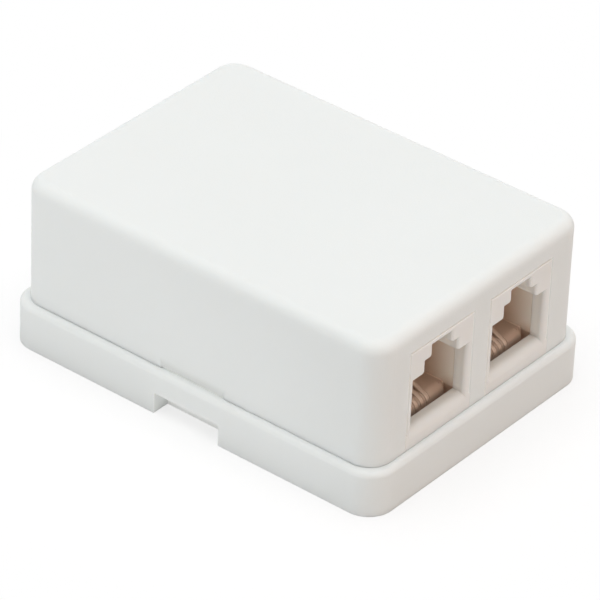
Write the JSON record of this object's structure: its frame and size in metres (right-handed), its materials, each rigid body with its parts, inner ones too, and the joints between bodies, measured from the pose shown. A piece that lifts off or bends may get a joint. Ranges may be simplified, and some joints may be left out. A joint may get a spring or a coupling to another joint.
{
  "type": "surface mount jack box",
  "caption": "Low rectangular surface mount jack box: screw-down base with a ledge, lift-off rounded cover, and modular sockets side by side in one end.",
  "frame": {"origin": "middle of the flat mounting face", "axes": "+Z away from the wall or table, +Y along the box away from the socket end, +X across it to the right when the sockets face the viewer"},
  "size_m": [0.0402, 0.055, 0.0224],
  "materials": {
    "white_moulding": "fine satin moulding",
    "white_jack": "fine satin moulding",
    "amber_carrier": "satin moulding",
    "gold_wire": "polished plating",
    "black_insulation": "smooth extruded",
    "red_insulation": "smooth extruded",
    "green_insulation": "smooth extruded",
    "yellow_insulation": "smooth extruded",
    "tinned_brass": "tin plated, dull",
    "plated_steel": "zinc plated"
  },
  "bodies": {
    "base": {"base": "white_moulding", "jack_housing_left": "white_jack", "contact_carrier_left": "amber_carrier", "contact_left_1": "gold_wire", "lead_left_1": "black_insulation", "lug_left_1": "tinned_brass", "washer_left_1": "plated_steel", "screw_left_1": "plated_steel", "contact_left_2": "gold_wire", "lead_left_2": "red_insulation", "lug_left_2": "tinned_brass", "washer_left_2": "plated_steel", "screw_left_2": "plated_steel", "contact_left_3": "gold_wire", "lead_left_3": "green_insulation", "lug_left_3": "tinned_brass", "washer_left_3": "plated_steel", "screw_left_3": "plated_steel", "contact_left_4": "gold_wire", "lead_left_4": "yellow_insulation", "lug_left_4": "tinned_brass", "washer_left_4": "plated_steel", "screw_left_4": "plated_steel", "jack_housing_right": "white_jack", "contact_carrier_right": "amber_carrier", "contact_right_1": "gold_wire", "lead_right_1": "black_insulation", "lug_right_1": "tinned_brass", "washer_right_1": "plated_steel", "screw_right_1": "plated_steel", "contact_right_2": "gold_wire", "lead_right_2": "red_insulation", "lug_right_2": "tinned_brass", "washer_right_2": "plated_steel", "screw_right_2": "plated_steel", "contact_right_3": "gold_wire", "lead_right_3": "green_insulation", "lug_right_3": "tinned_brass", "washer_right_3": "plated_steel", "screw_right_3": "plated_steel", "contact_right_4": "gold_wire", "lead_right_4": "yellow_insulation", "lug_right_4": "tinned_brass", "washer_right_4": "plated_steel", "screw_right_4": "plated_steel"},
    "cover": {"cover": "white_moulding"}
  },
  "joints": [
    {"name": "cover_lift", "type": "slide", "parent": "base", "child": "cover", "axis": [0, 0, 1], "range_m": [0, 0.02]}
  ]
}
